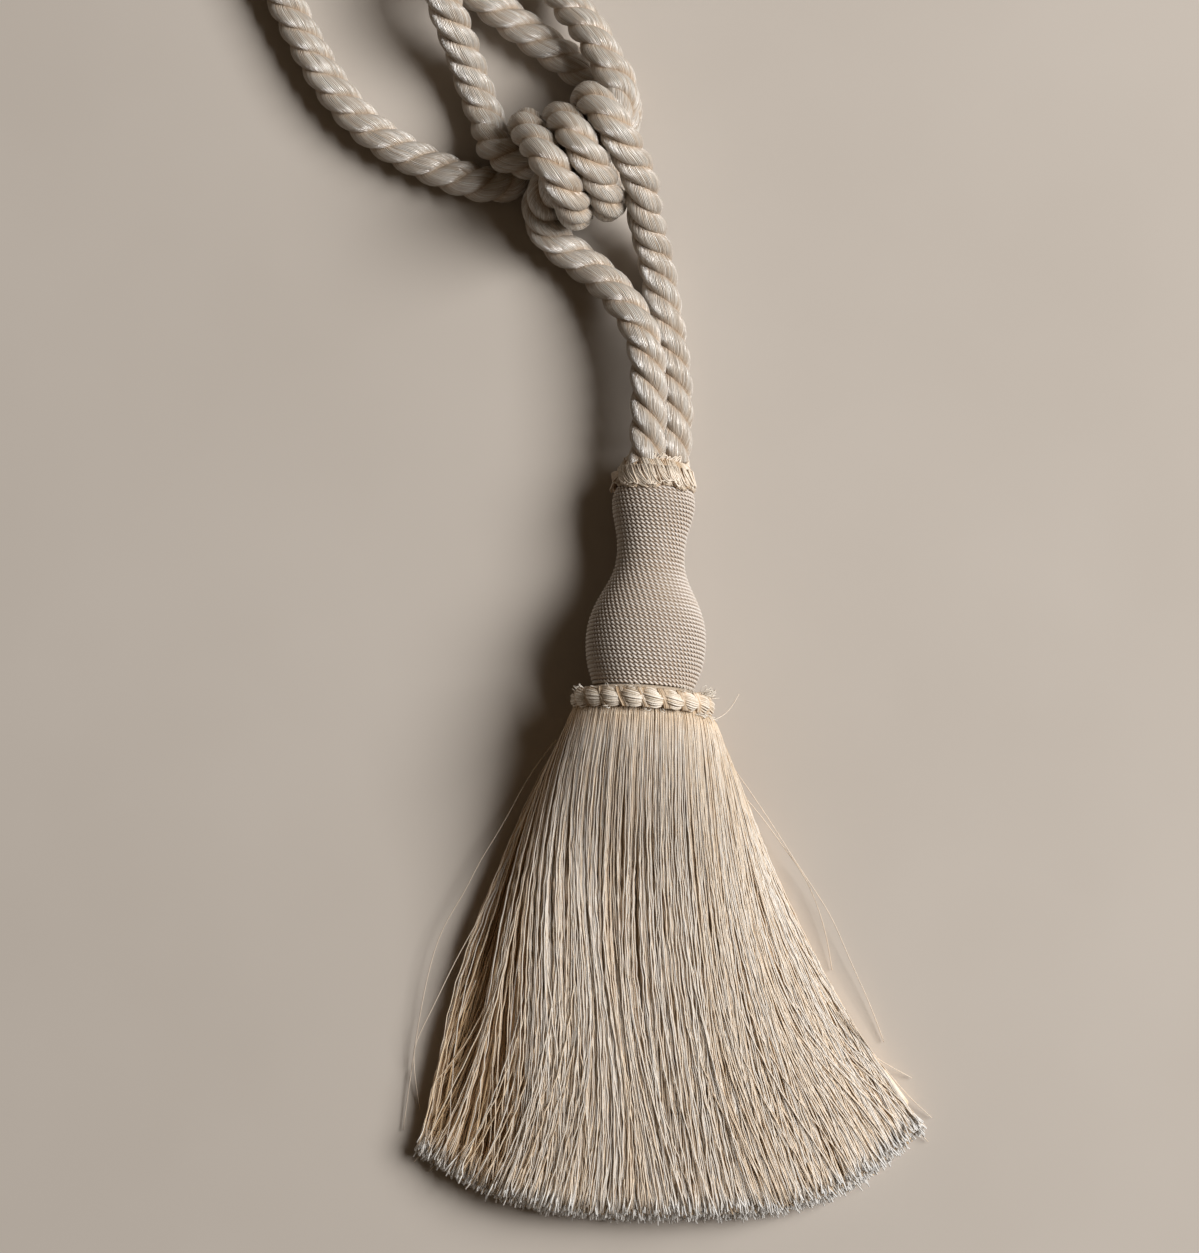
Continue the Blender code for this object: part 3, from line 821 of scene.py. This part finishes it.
def make_collar(material):
    rng = np.random.default_rng(5)
    yarns = Yarns()
    middle = COLLAR_TOP + COLLAR_WIDTH / 2
    ring = np.array(COLLAR_OUTLINE)
    ring[:, 0] += middle
    # The ring under the beads carries some painted shade
    add_turned(yarns, ring, steps=80, painted_shade=0.35)
    step = math.tau / BEADS
    q = np.linspace(0, 1, 14)
    bundle = Bundle()
    for bead in range(BEADS):
        centre = BEAD_TOP + step * bead + 0.03 * (rng.random() - 0.5)
        size = 0.95 + 0.12 * rng.random()
        lean = 0.9 + 0.7 * rng.random()
        droop = 0.4 * (rng.random() - 0.5)
        for arc in range(BEAD_ARCS):
            row = arc / (BEAD_ARCS - 1) * 2 - 1 + 0.08 * (rng.random() - 0.5)
            belly = np.sin(math.pi * q ** 0.8) ** 0.55
            spread = (0.42 + 0.58 * belly) * (1 - 0.62 * q ** 2.4)
            smile = 0.9 * (np.sin(math.pi * q) - 0.6) * (0.6 + 0.4 * row)
            along = middle + droop + lean * (q - 0.45) + smile + row * 2.8 * size * spread
            radius = 18.7 + 3.7 * size * belly * math.sqrt(max(0.02, 1 - 0.72 * row * row)) - 0.4 * q ** 2
            radius = radius + 0.5 * (rng.random() - 0.5)
            angle = centre + step * (q - 0.5) * (1.50 - 0.18 * abs(row)) + 0.012 * row
            # Painted shade: darker at each bead's ends, most where it starts, lightest across its belly
            painted_shade = 0.95 - 1.2 * belly + 0.55 * (1 - q) ** 2 + 0.15 * abs(row)
            bundle.add(along, radius, angle, centre, painted_shade, 1.0 - 0.9 * rng.random() ** 1.5)
    # Yarns that lie slanting between the beads
    for bead in range(BEADS):
        centre = BEAD_TOP + step * (bead + 0.5)
        for yarn in range(SLANTING_YARNS):
            angle = centre + step * (0.42 * (q - 0.5) + 0.07 * (yarn - 3))
            along = middle - 3.0 + 5.9 * q
            radius = 20.3 + 1.0 * np.sin(math.pi * q) + 0.3 * rng.random()
            # Painted shade on the slanting yarns between the beads, different on each
            painted_shade = np.full(len(q), 0.3 + 0.5 * rng.random())
            bundle.add(along, radius, angle, centre, painted_shade, 0.2 + 0.7 * rng.random())
    bundle.lay(yarns, COLLAR_YARN_RADIUS, sides=5, lowest=0.6, painted_flank_shade=0.8)
    # Loose loops and curls that stand off the beads, many of them at the right
    gathered = CURL_RIGHT + 0.5 * (2 * rng.random(CURLS) - 1)
    angle = np.where(np.arange(CURLS) < CURLS_AT_RIGHT, gathered, rng.random(CURLS) * math.tau)
    edge = np.where(rng.random(CURLS) < 0.6, -3.1, 2.6)
    centres = around_axis(middle + edge + rng.random(CURLS) * 0.8, 19.5 + 1.8 * rng.random(CURLS), angle)
    outs = outward(angle) * (0.3 + rng.random((CURLS, 1)))
    outs = unit(outs + AXIS * np.sign(edge)[:, None] * 1.2 * rng.random((CURLS, 1)))
    asides = unit(np.cross(outs, AXIS) + AXIS * 0.5 * (rng.random((CURLS, 1)) - 0.5))
    sizes = np.where(np.abs(angle - CURL_RIGHT) < 0.5, 1.3, 0.8)
    loops = curls(centres, outs, asides, sizes, rng)
    loops[:, :, 2] = np.maximum(loops[:, :, 2], 0.5)
    crests = np.cross(outs, asides)[:, None]
    yarns.add_tubes(loops, CURL_YARN_RADIUS, 3, crests, tone=0.9, painted_shade=0.0)
    stand_in(yarns.write("beaded_collar", material), "collar")


# Looped ruff above the head
RUFF_OUTLINE = [(-8.4, 0.5), (-8.4, 8.0), (-7.4, 9.9), (-5.6, 10.6), (-3.2, 10.3), (-2.2, 8.0), (-2.2, 0.5)]
RUFF_LOBES = 13
EDGE_LOOPS = 9
FOLDED_LOOPS = 24
RUFF_YARN_RADIUS = 0.23


def make_ruff(material):
    rng = np.random.default_rng(8)
    yarns = Yarns()
    # The base under the loops carries much painted shade
    add_turned(yarns, np.array(RUFF_OUTLINE), steps=60, painted_shade=0.75)
    widths = 0.6 + 0.9 * rng.random(RUFF_LOBES)
    edges = np.concatenate([[0], np.cumsum(widths)]) / widths.sum() * math.tau + 0.35
    q = np.linspace(0, 1, 12)
    turn = q * math.pi
    bundle = Bundle()
    for lobe in range(RUFF_LOBES):
        middle = (edges[lobe] + edges[lobe + 1]) / 2
        half = (edges[lobe + 1] - edges[lobe]) / 2
        lean = 0.15 + 0.75 * rng.random()
        flare = rng.random()
        rise = rng.random()
        count = int(26 + 26 * widths[lobe])
        for loop in range(count):
            place = rng.random() * 2 - 1
            swell = math.sqrt(1 - 0.8 * place * place)
            base = middle + place * half * 1.02
            top = -7.7 - 1.3 * swell * rise - 0.7 * rng.random()
            bottom = -1.5 + 2.2 * swell * flare + 0.8 * rng.random()
            out = 10.9 + (0.6 + 0.9 * flare) * swell + 0.5 * rng.random()
            along = top + (bottom - top) * (0.5 - 0.5 * np.cos(turn))
            radius = 8.7 + (out - 8.7) * np.sin(turn * 0.66) ** 0.9 + 0.5 * flare * q
            angle = base + lean * (q - 0.5) + 0.06 * np.sin(turn * 1.7 + 5 * rise + rng.random())
            # Painted shade: darker where each loop meets the base and towards the sides of its lobe
            shade = 0.75 - 0.9 * np.sin(turn * 0.9) ** 0.7 + 0.7 * place ** 2
            bundle.add(along, radius, angle, np.mean(angle), shade, rng.random())
        # Closed loops along the lower and upper edges
        for loop in range(EDGE_LOOPS):
            base = middle + (rng.random() * 2 - 1) * half
            width = 0.05 + 0.09 * rng.random()
            lower = rng.random() < 0.6
            tip = -2.6 + 2.6 * flare + rng.random() if lower else -9.2 - 1.2 * rng.random()
            along = -6.2 + (tip + 6.2) * np.sin(turn) ** 0.8
            radius = 9.3 + 2.2 * lower + (0.6 + 1.5 * flare * lower) * np.sin(turn) + 0.5 * rng.random()
            angle = base + width * np.cos(turn) + lean * 0.5 * np.sin(turn)
            bundle.add(along, radius, angle, np.mean(angle), 0.1 + 0 * q, 0.5 + 0.5 * rng.random())
    # A full lobe that has folded over the rim of the head on the side away from the light
    for loop in range(FOLDED_LOOPS):
        share = loop / (FOLDED_LOOPS - 1) - 0.5
        along = -4.6 + 3.4 * q + 2.4 * share * np.sin(turn) + 0.3 * rng.random()
        radius = 10.7 + (2.5 + 0.5 * rng.random()) * np.sin(turn) ** 0.8
        angle = -0.98 + 0.16 * share - 0.40 * np.sin(turn * 0.9) + 0.04 * (rng.random() - 0.5)
        bundle.add(along, radius, angle, np.mean(angle), 0.5 * (1 - q), 0.5 + 0.5 * rng.random())
    bundle.lay(yarns, RUFF_YARN_RADIUS, sides=4, lowest=0.45, painted_flank_shade=0.9)
    stand_in(yarns.write("looped_ruff", material), "top_ruff")


# Skirt, shaped as in the CAD part
ROOT_HALF_WIDTH = 20.8
ROOT_HALF_HEIGHT = 18.6
ROOT_DEPTH = -2.0
ROOT_SWEEP = math.radians(118)
SKIRT_HALF_WIDTH = 81.6
SKIRT_TIP_Y = -120.6
CORNER_LIFT_LEFT = 23.0
CORNER_LIFT_RIGHT = 31.0
CORNER_POWER = 3.2
SKIRT_BOW = 5.75
SKIRT_BOW_SLANT = 1.6
SKIRT_CROWN_ROOT = 27.0
SKIRT_CROWN_TIP = 14.0
SKIRT_EDGE = 5.0
LEFT_POWER = 3.3
RIGHT_POWER = 2.2
LYING_FROM = 0.36
CUT_SLANT = 4.2
LEFT_SWELL = 4.8
RIGHT_SWELL = 4.4
LEFT_REACH = -0.97
RIGHT_REACH = 0.955
FRONT_SHARE = 0.4
THREAD_SIDES = 3
HEART_COLUMNS = 150
HEART_SHARE = 0.88
HEART_LOWEST = -0.9


def root_point(angle, share):
    """A point of the bound root, inside the collar: angle 0 is on top, share 1 is the outside."""
    side = ROOT_HALF_WIDTH * share * np.sin(angle)
    height = ROOT_HALF_HEIGHT * share * np.cos(angle)
    middle = AXIS_START + AXIS * (SKIRT_TOP + ROOT_DEPTH)
    return middle + ACROSS * side[..., None] + UPWARD * height[..., None]


def skirt_point(root, across, layer, down):
    """A point of a thread from its root; across and layer run from -1 to 1, down from 0 to 1."""
    across, layer, down = np.broadcast_arrays(across, layer, down)
    within = np.clip(across, -1, 1)
    lift = np.where(across < 0, CORNER_LIFT_LEFT, CORNER_LIFT_RIGHT)
    tip_x = SKIRT_HALF_WIDTH * across
    cut = CUT_SLANT * ((layer + 1) / 2) ** 1.8
    tip_y = SKIRT_TIP_Y + lift * np.abs(across) ** CORNER_POWER + cut
    bow = (SKIRT_BOW + SKIRT_BOW_SLANT * across) * np.sin(math.pi * np.clip(down, 0, 1))
    left = -LEFT_SWELL * np.sin(math.pi * np.clip(down / 0.92, 0, 1) ** 0.75)
    right = RIGHT_SWELL * np.sin(math.pi * np.clip(down / 0.8, 0, 1) ** 0.5)
    swell = np.where(across < 0, left, right) * np.abs(within) ** 1.3
    x = root[..., 0] + (tip_x - root[..., 0]) * down - bow + swell
    y = root[..., 1] + (tip_y - root[..., 1]) * down
    crown = SKIRT_CROWN_ROOT + (SKIRT_CROWN_TIP - SKIRT_CROWN_ROOT) * down
    power = np.where(across < 0, LEFT_POWER, RIGHT_POWER)
    thickness = SKIRT_EDGE + (crown - SKIRT_EDGE) * (1 - np.abs(within) ** power)
    lying = ON_TABLE + thickness * (layer + 1) / 2
    settled = smooth_step((down - 0.01) / LYING_FROM)
    z = root[..., 2] + (lying - root[..., 2]) * settled
    return np.stack([x, y, z], axis=-1)


class Clumps:
    """Centres across the skirt that threads are drawn to, each thread to the nearest."""

    def __init__(self, count, rng):
        self.count = count
        self.centres = (np.arange(count) + 0.1 + 0.8 * rng.random(count)) / count * 2 - 1
        self.waves = rng.random((count, 3))

    def of(self, across):
        return np.abs(across[:, None] - self.centres[None]).argmin(axis=1)


def uneven_at(across):
    """How uneven the threads lie: 1 over the left half, falling to 0.1 on the lit right side."""
    return 1 - 0.9 * smooth_step(across / 0.45)


def thin_at(across):
    """1 along the shaded left edge, where few threads lie on top, and 0 over the rest."""
    return smooth_step((-across - 0.55) / 0.2)


def skirt_paths(angle, share, across, layer, steps, start, clumps, rng, drift, ragged):
    """Paths of threads that part into locks, crimp a little and drift across each other."""
    count = len(across)
    length = 1 - ragged * rng.random(count)
    down = start + (length[:, None] - start) * np.linspace(0, 1, steps)[None]
    place = across[:, None] + 0 * down
    height = np.zeros_like(down)
    locks, strands, tips = clumps
    pulls = (
        (locks, 0.30 * smooth_step(down / 0.1) * (1 - smooth_step((down - 0.2) / 0.6)), 0.9),
        (strands, 0.38 * smooth_step(down / 0.35) * (1 - 0.5 * smooth_step((down - 0.65) / 0.35)), 0.8),
        (tips, 0.42 * smooth_step((down - 0.4) / 0.5), 0.7),
    )
    uneven = uneven_at(across)[:, None]
    loose = (layer > 0.3) * smooth_step((-across - 0.45) / 0.2)
    apart = 1 - 0.85 * loose[:, None]
    for group, pull, rise in pulls:
        member = group.of(across + 0.25 / group.count * rng.normal(0, 1, count))
        centre = group.centres[member][:, None]
        wave = group.waves[member]
        width = 1.0 / group.count
        offset = (across[:, None] - centre) / width
        bulge = np.clip(1 - offset ** 2, 0, 1)
        sway = 0.5 * width * np.sin(math.tau * (down * (0.5 + 0.9 * wave[:, :1]) + wave[:, 1:2]))
        strength = (0.5 + wave[:, 2:3]) * apart * (0.4 + 0.6 * uneven)
        place = place + pull * strength * (centre - across[:, None]) + sway * np.minimum(1, down * 3)
        height = height + uneven * rise * pull * (bulge + 1.2 * (wave[:, 2:3] - 0.5))
    turn_out = smooth_step((down - 0.35) / 0.7) ** 1.3
    # On the shaded side the threads keep together at first and fan out near their ends
    gathered = 0.11 * np.clip(-4 * across * (1 + across), 0, 1)[:, None]
    place = place + gathered * np.sin(math.pi * np.clip((down - 0.12) / 0.88, 0, 1))
    place = place + (drift / SKIRT_HALF_WIDTH)[:, None] * turn_out
    place = np.clip(place, LEFT_REACH, RIGHT_REACH)
    points = skirt_point(root_point(angle, share)[:, None], place, layer[:, None], down)
    phase = rng.random((count, 4)) * math.tau
    waves = 170 / (8 + 8 * rng.random((count, 2)))
    crimp = (0.12 + 0.22 * rng.random((count, 1)) ** 2) * np.minimum(1, down * 3)
    points[:, :, 0] += crimp * np.sin(math.tau * down * waves[:, :1] + phase[:, :1])
    points[:, :, 0] += 0.5 * np.sin(math.tau * down * 1.7 + phase[:, 1:2]) * np.minimum(1, down * 2)
    lifted = height + 0.8 * uneven * (rng.random((count, 1)) - 0.5) * np.minimum(1, down * 5)
    lifted += 0.12 * np.sin(math.tau * down * waves[:, 1:] + phase[:, 2:3])
    points[:, :, 2] += lifted * (layer[:, None] > 0)
    strayed = (np.abs(drift) / 6).clip(0, 1.6)[:, None] * (0.3 + 0.7 * uneven)
    points[:, :, 2] += strayed * smooth_step((down - 0.45) / 0.4)
    points[:, :, 2] = np.maximum(points[:, :, 2], 0.5)
    return points, down


def add_threads(yarns, paths, down, radius, tone, painted_shade, rng):
    count = len(paths)
    radii = radius * (0.8 + 0.4 * rng.random((count, 1))) * (0.72 + 0.28 * smooth_step(down / 0.35))
    # Painted shade on the underside of each thread
    yarns.add_tubes(paths, radii, THREAD_SIDES, UP, tone, painted_shade, painted_flank_shade=1.1)


def thread_drift(across, rng):
    """How far sideways each thread has strayed at its tip; more towards both edges of the skirt."""
    count = len(across)
    usual = rng.normal(0, 2.6, count)
    astray = rng.random(count) < 0.14 + 0.12 * smooth_step((np.abs(across) - 0.3) / 0.5)
    far = rng.normal(0, 7.0, count) + 9.0 * np.sign(across) * smooth_step((np.abs(across) - 0.15) / 0.3)
    return np.clip(np.where(astray, far, usual), -20, 18)


def make_skirt_heart(material):
    """Under the threads: a closed body of the same shape, coloured in painted shade, darker along the thin
    left edge and full underneath.
    """
    heart = Yarns()
    rows = np.concatenate([np.linspace(0.0, 0.3, 16), np.linspace(0.33, 0.95, 30)])
    across = np.linspace(-0.97, 0.97, HEART_COLUMNS)
    below = across[::-1]
    angle = np.concatenate([across * ROOT_SWEEP, math.pi - below * (math.pi - ROOT_SWEEP)])
    hollow = thin_at(across)
    layer = np.concatenate([0.79 - 0.75 * hollow, np.full(HEART_COLUMNS, HEART_LOWEST)])
    place = np.concatenate([across, below])
    root = root_point(angle, np.full(2 * HEART_COLUMNS, HEART_SHARE))
    points = skirt_point(root[None], place[None], layer[None], rows[:, None])
    ripple = 0.3 * np.sin(place[None] * 190) + 0.25 * np.sin(place[None] * 331 + rows[:, None] * 9)
    points[:, :, 2] = np.maximum(points[:, :, 2] + ripple * (layer[None] > 0), 0.3)
    numbers = np.arange(len(rows) * 2 * HEART_COLUMNS).reshape(len(rows), -1)
    # Painted shade: warm brown on top, darker along the thin left edge, full underneath
    painted_shade = np.concatenate([0.7 + 0.4 * hollow, np.full(HEART_COLUMNS, 1.0)])
    painted_shade = np.broadcast_to(painted_shade, numbers.shape).ravel()
    heart.add(points, [tube_walls(numbers), numbers[:1, ::-1], numbers[-1:]], 0.4, painted_shade)
    stand_in(heart.write("skirt_heart", material), "skirt")


def make_skirt(material):
    rng = np.random.default_rng(21)
    clumps = (Clumps(22, rng), Clumps(96, rng), Clumps(240, rng))
    make_skirt_heart(material)

    def sheet(name, count, low, high, steps, start, radius, ragged=0.02, underside=False, tips=False):
        across = (np.arange(count) + rng.random(count)) / count * 2 - 1
        rng.shuffle(across)
        layer = low + (high - low) * rng.random(count) ** 0.85
        sunk_and_painted_darker = (rng.random(count) < 0.88 * thin_at(across)) & (layer > 0)
        layer = np.where(sunk_and_painted_darker, -0.1 + 0.4 * rng.random(count), layer)
        # Some uppermost threads are raised a little, painted lighter and given no painted shade below the
        # root, so they show one by one against the warm brown painted shade of the mass under them
        raised_and_painted_lighter = (rng.random(count) < FRONT_SHARE) & ~sunk_and_painted_darker & (layer > 0.7)
        share = 0.90 + 0.10 * np.clip((layer - 0.6) / 0.4, 0, 1)
        angle = across * ROOT_SWEEP
        drift = thread_drift(across, rng)
        if underside:
            angle = math.pi - across * (math.pi - ROOT_SWEEP)
            share = np.full(count, 0.97)
            drift = 0.3 * drift
        paths, down = skirt_paths(
            angle, share, across * 0.985, layer, steps, start, clumps, rng, drift, ragged,
        )
        paths[:, :, 2] += (raised_and_painted_lighter * 0.45 * uneven_at(across))[:, None] * smooth_step(down / 0.3)
        # Painted shade: warm brown on threads lying lower in the skirt, and a band of it just below the
        # collar
        painted_shade = np.clip((1.09 - layer) / 0.50, 0, 1)[:, None] * np.minimum(1, 0.5 + 4 * down)
        painted_shade = np.where(raised_and_painted_lighter[:, None], 0.0, painted_shade) + 0.6 * (1 - smooth_step(down / 0.07))
        if tips:
            # Cut ends: splayed and turned up, with their painted shade fading out towards where they are cut
            q = np.linspace(0, 1, steps)[None, :, None]
            paths += q ** 2 * rng.normal(0, 1, (count, 1, 3)) * np.array((1.0, 0.6, 0.9))
            paths[:, :, 2] += 1.3 * q[:, :, 0] ** 2
            paths[:, :, 2] = np.maximum(paths[:, :, 2], 0.45)
            painted_shade = 0.4 - 1.4 * q[:, :, 0] ** 1.5 + 0.3 * rng.random((count, 1))
        # Painted light: the cut ends get a lighter tone than the other threads
        tone = rng.normal(0.9 if tips else 0.6, 0.22, (count, 1)) + rng.normal(0, 0.2, down.shape)
        # Painted shade: the sunk threads along the thin left edge are darker still
        painted_shade = painted_shade + sunk_and_painted_darker[:, None] * (0.1 + 0.4 * rng.random((count, 1)))
        # Painted light on the raised top threads
        tone = np.clip(tone + 0.2 * raised_and_painted_lighter[:, None], 0, 1)
        yarns = Yarns()
        add_threads(yarns, paths, down, radius, tone, painted_shade, rng)
        stand_in(yarns.write(name, material), "")

    # Layers run from -1 underneath to 1 on top, and start is where the threads begin, down the skirt
    sheet("skirt_upper_a", count=780, low=0.80, high=1.0, steps=40, start=0.0, radius=0.26)
    sheet("skirt_upper_b", count=780, low=0.72, high=0.98, steps=40, start=0.0, radius=0.26)
    sheet("skirt_middle", count=460, low=0.45, high=0.78, steps=18, start=0.0, radius=0.36)
    sheet(
        "skirt_tips", count=2500, low=-0.95, high=0.95, steps=6, start=0.93, radius=0.30,
        ragged=0.012, tips=True,
    )
    sheet(
        "skirt_under", count=420, low=-1.0, high=-0.9, steps=14, start=0.0, radius=0.5,
        underside=True,
    )
    make_stray_threads(material, rng)


# Stray threads beside the skirt, as pixels of the photograph from their tip upwards
STRAYS = [
    [
        (403, 1130), (413, 1060), (421, 1010), (440, 936), (463, 894),
        (481, 860), (504, 822), (529, 777), (556, 740),
    ],
    [(420, 1110), (416, 1084), (414, 1055), (418, 1038), (431, 1011), (455, 962), (477, 922), (505, 870)],
    [(432, 1095), (452, 1020), (468, 955), (492, 890), (525, 830)],
    [(884, 1042), (868, 1000), (848, 955), (830, 915), (800, 868), (766, 815), (735, 770)],
    [(832, 970), (829, 950), (822, 920), (806, 880), (786, 850), (760, 815), (738, 790)],
    [(912, 1078), (890, 1066), (868, 1050), (840, 1010)],
    [(932, 1118), (908, 1095), (880, 1062), (850, 1020)],
    [(927, 1128), (900, 1098), (870, 1062), (840, 1022)],
    [(928, 1142), (905, 1115), (875, 1082), (845, 1045)],
    [(918, 1128), (896, 1092), (874, 1058), (846, 1010)],
    [(414, 1162), (432, 1145), (470, 1120), (505, 1085)],
    [(418, 1150), (455, 1128), (500, 1105), (540, 1065)],
    [(420, 1140), (436, 1096), (452, 1040), (476, 980)],
    [(428, 1172), (462, 1136), (492, 1090), (530, 1030)],
    [(739, 694), (732, 706), (722, 716), (706, 722)],
]
STRAY_RADIUS = 0.18
STRAY_STEPS = 34
# A stray thread whose tip is above this pixel row lies on the collar, so much higher
COLLAR_ROW = 700
COLLAR_LIFT = 16


def make_stray_threads(material, rng):
    paths = []
    for stray in STRAYS:
        spread = np.array(stray, float)
        heights = np.linspace(1.2, 9.0, len(spread)) + (COLLAR_LIFT if stray[0][1] < COLLAR_ROW else 0)
        stops = [(*from_photo(px, py, z), 0.0) for (px, py), z in zip(spread, heights)]
        line = smooth_line(stops, 1.0)[:, :3]
        share = np.linspace(0, len(line) - 1, STRAY_STEPS)
        order = np.arange(len(line))
        paths.append(np.column_stack([np.interp(share, order, line[:, k]) for k in range(3)]))
    yarns = Yarns()
    # Painted shade: a little on each stray thread, more on its underside
    yarns.add_tubes(np.array(paths), STRAY_RADIUS, THREAD_SIDES, UP, tone=0.7, painted_shade=0.2, painted_flank_shade=0.9)
    stand_in(yarns.write("skirt_strays", material), "")


# The scene


def make_floor():
    mesh = bpy.data.meshes.new("floor")
    far = FLOOR_REACH
    mesh.from_pydata([(-far, -far, 0), (far, -far, 0), (far, far, 0), (-far, far, 0)], [], [(0, 1, 2, 3)])
    mesh.materials.append(floor_material())
    floor = placed("floor", mesh)


make_camera()
make_rope(rope_material())
cord_silk = thread_material(
    "cord_silk", light=(0.77, 0.73, 0.69), dark=(0.60, 0.51, 0.42), painted_shade_amber=(0.50, 0.40, 0.30),
    relief=0.00004,
)
make_head(cord_silk)
ruff_silk = thread_material(
    "ruff_silk", light=(0.88, 0.82, 0.73), dark=(0.54, 0.46, 0.35), painted_shade_amber=(0.72, 0.54, 0.36),
    relief=0.0001,
)
skirt_silk = thread_material(
    "skirt_silk", light=(0.84, 0.83, 0.81), dark=(0.82, 0.76, 0.68), painted_shade_amber=(1.0, 0.77, 0.50),
    relief=0.00008, ior=1.7,
)
make_collar(ruff_silk)
make_ruff(ruff_silk)
make_skirt(skirt_silk)
make_floor()
make_light()
